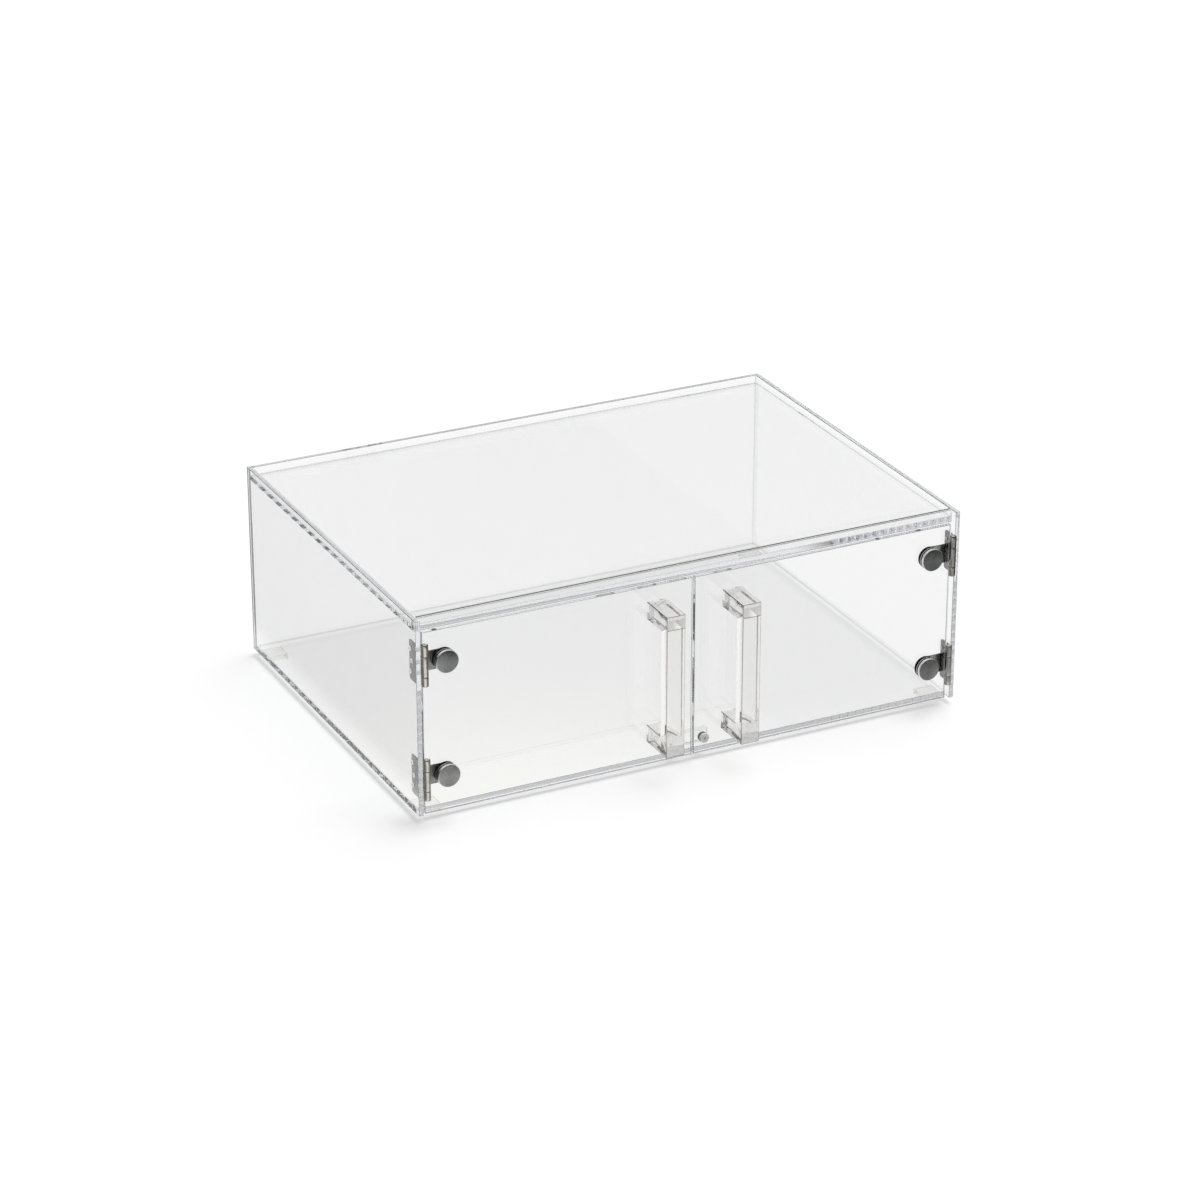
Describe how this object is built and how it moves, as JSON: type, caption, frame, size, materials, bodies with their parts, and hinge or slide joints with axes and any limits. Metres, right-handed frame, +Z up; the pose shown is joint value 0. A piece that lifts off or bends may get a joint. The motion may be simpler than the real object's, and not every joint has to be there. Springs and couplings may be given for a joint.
{
  "type": "pastry display case",
  "caption": "low countertop display case of clear acrylic sheet with a recessed top panel, outward-swinging front doors on steel side hinges, clear bar handles and small clear feet",
  "frame": {"origin": "on the surface that the case stands on, under the middle of the whole object's bounding box, handles included", "axes": "+Z up; +X to the right across the front as seen from in front; the doors face -Y"},
  "size_m": [0.5334, 0.4158, 0.19],
  "materials": {
    "clear_acrylic": "clear polished acrylic sheet with a faint cool tint at its edges",
    "clear_bar": "clear polished solid acrylic with a faint warm tint",
    "hinge_steel": "brushed stainless steel",
    "screw_steel": "polished stainless steel",
    "black_rubber": "matte black",
    "magnet_grey": "light grey coated"
  },
  "bodies": {
    "case": {"floor_panel": "clear_acrylic", "top_panel": "clear_acrylic", "back_panel": "clear_acrylic", "left_side_panel": "clear_acrylic", "right_side_panel": "clear_acrylic", "front_header": "clear_acrylic", "front_left_foot": "clear_bar", "front_right_foot": "clear_bar", "rear_left_foot": "clear_bar", "rear_right_foot": "clear_bar", "stop_block": "clear_acrylic", "left_strike": "screw_steel", "right_strike": "screw_steel", "left_lower_leaf": "hinge_steel", "left_upper_leaf": "hinge_steel", "right_lower_leaf": "hinge_steel", "right_upper_leaf": "hinge_steel", "left_lower_pin": "screw_steel", "left_upper_pin": "screw_steel", "right_lower_pin": "screw_steel", "right_upper_pin": "screw_steel", "left_lower_bottom_screw": "screw_steel", "left_lower_middle_screw": "screw_steel", "left_lower_top_screw": "screw_steel", "left_upper_bottom_screw": "screw_steel", "left_upper_middle_screw": "screw_steel", "left_upper_top_screw": "screw_steel", "right_lower_bottom_screw": "screw_steel", "right_lower_middle_screw": "screw_steel", "right_lower_top_screw": "screw_steel", "right_upper_bottom_screw": "screw_steel", "right_upper_middle_screw": "screw_steel", "right_upper_top_screw": "screw_steel"},
    "left_door": {"left_door_panel": "clear_acrylic", "left_handle": "clear_bar", "left_magnet": "magnet_grey", "left_lower_arm": "hinge_steel", "left_upper_arm": "hinge_steel", "left_lower_disc": "hinge_steel", "left_upper_disc": "hinge_steel", "left_lower_outer_washer": "black_rubber", "left_upper_outer_washer": "black_rubber", "left_lower_inner_washer": "black_rubber", "left_upper_inner_washer": "black_rubber"},
    "right_door": {"right_door_panel": "clear_acrylic", "right_handle": "clear_bar", "right_magnet": "magnet_grey", "right_lower_arm": "hinge_steel", "right_upper_arm": "hinge_steel", "right_lower_disc": "hinge_steel", "right_upper_disc": "hinge_steel", "right_lower_outer_washer": "black_rubber", "right_upper_outer_washer": "black_rubber", "right_lower_inner_washer": "black_rubber", "right_upper_inner_washer": "black_rubber"}
  },
  "joints": [
    {"name": "left_door_swing", "type": "hinge", "parent": "case", "child": "left_door", "pos_m": [-0.2592, -0.1746, 0.0948], "axis": [0, 0, -1], "range_deg": [0, 110]},
    {"name": "right_door_swing", "type": "hinge", "parent": "case", "child": "right_door", "pos_m": [0.2592, -0.1746, 0.0948], "axis": [0, 0, 1], "range_deg": [0, 110]}
  ]
}
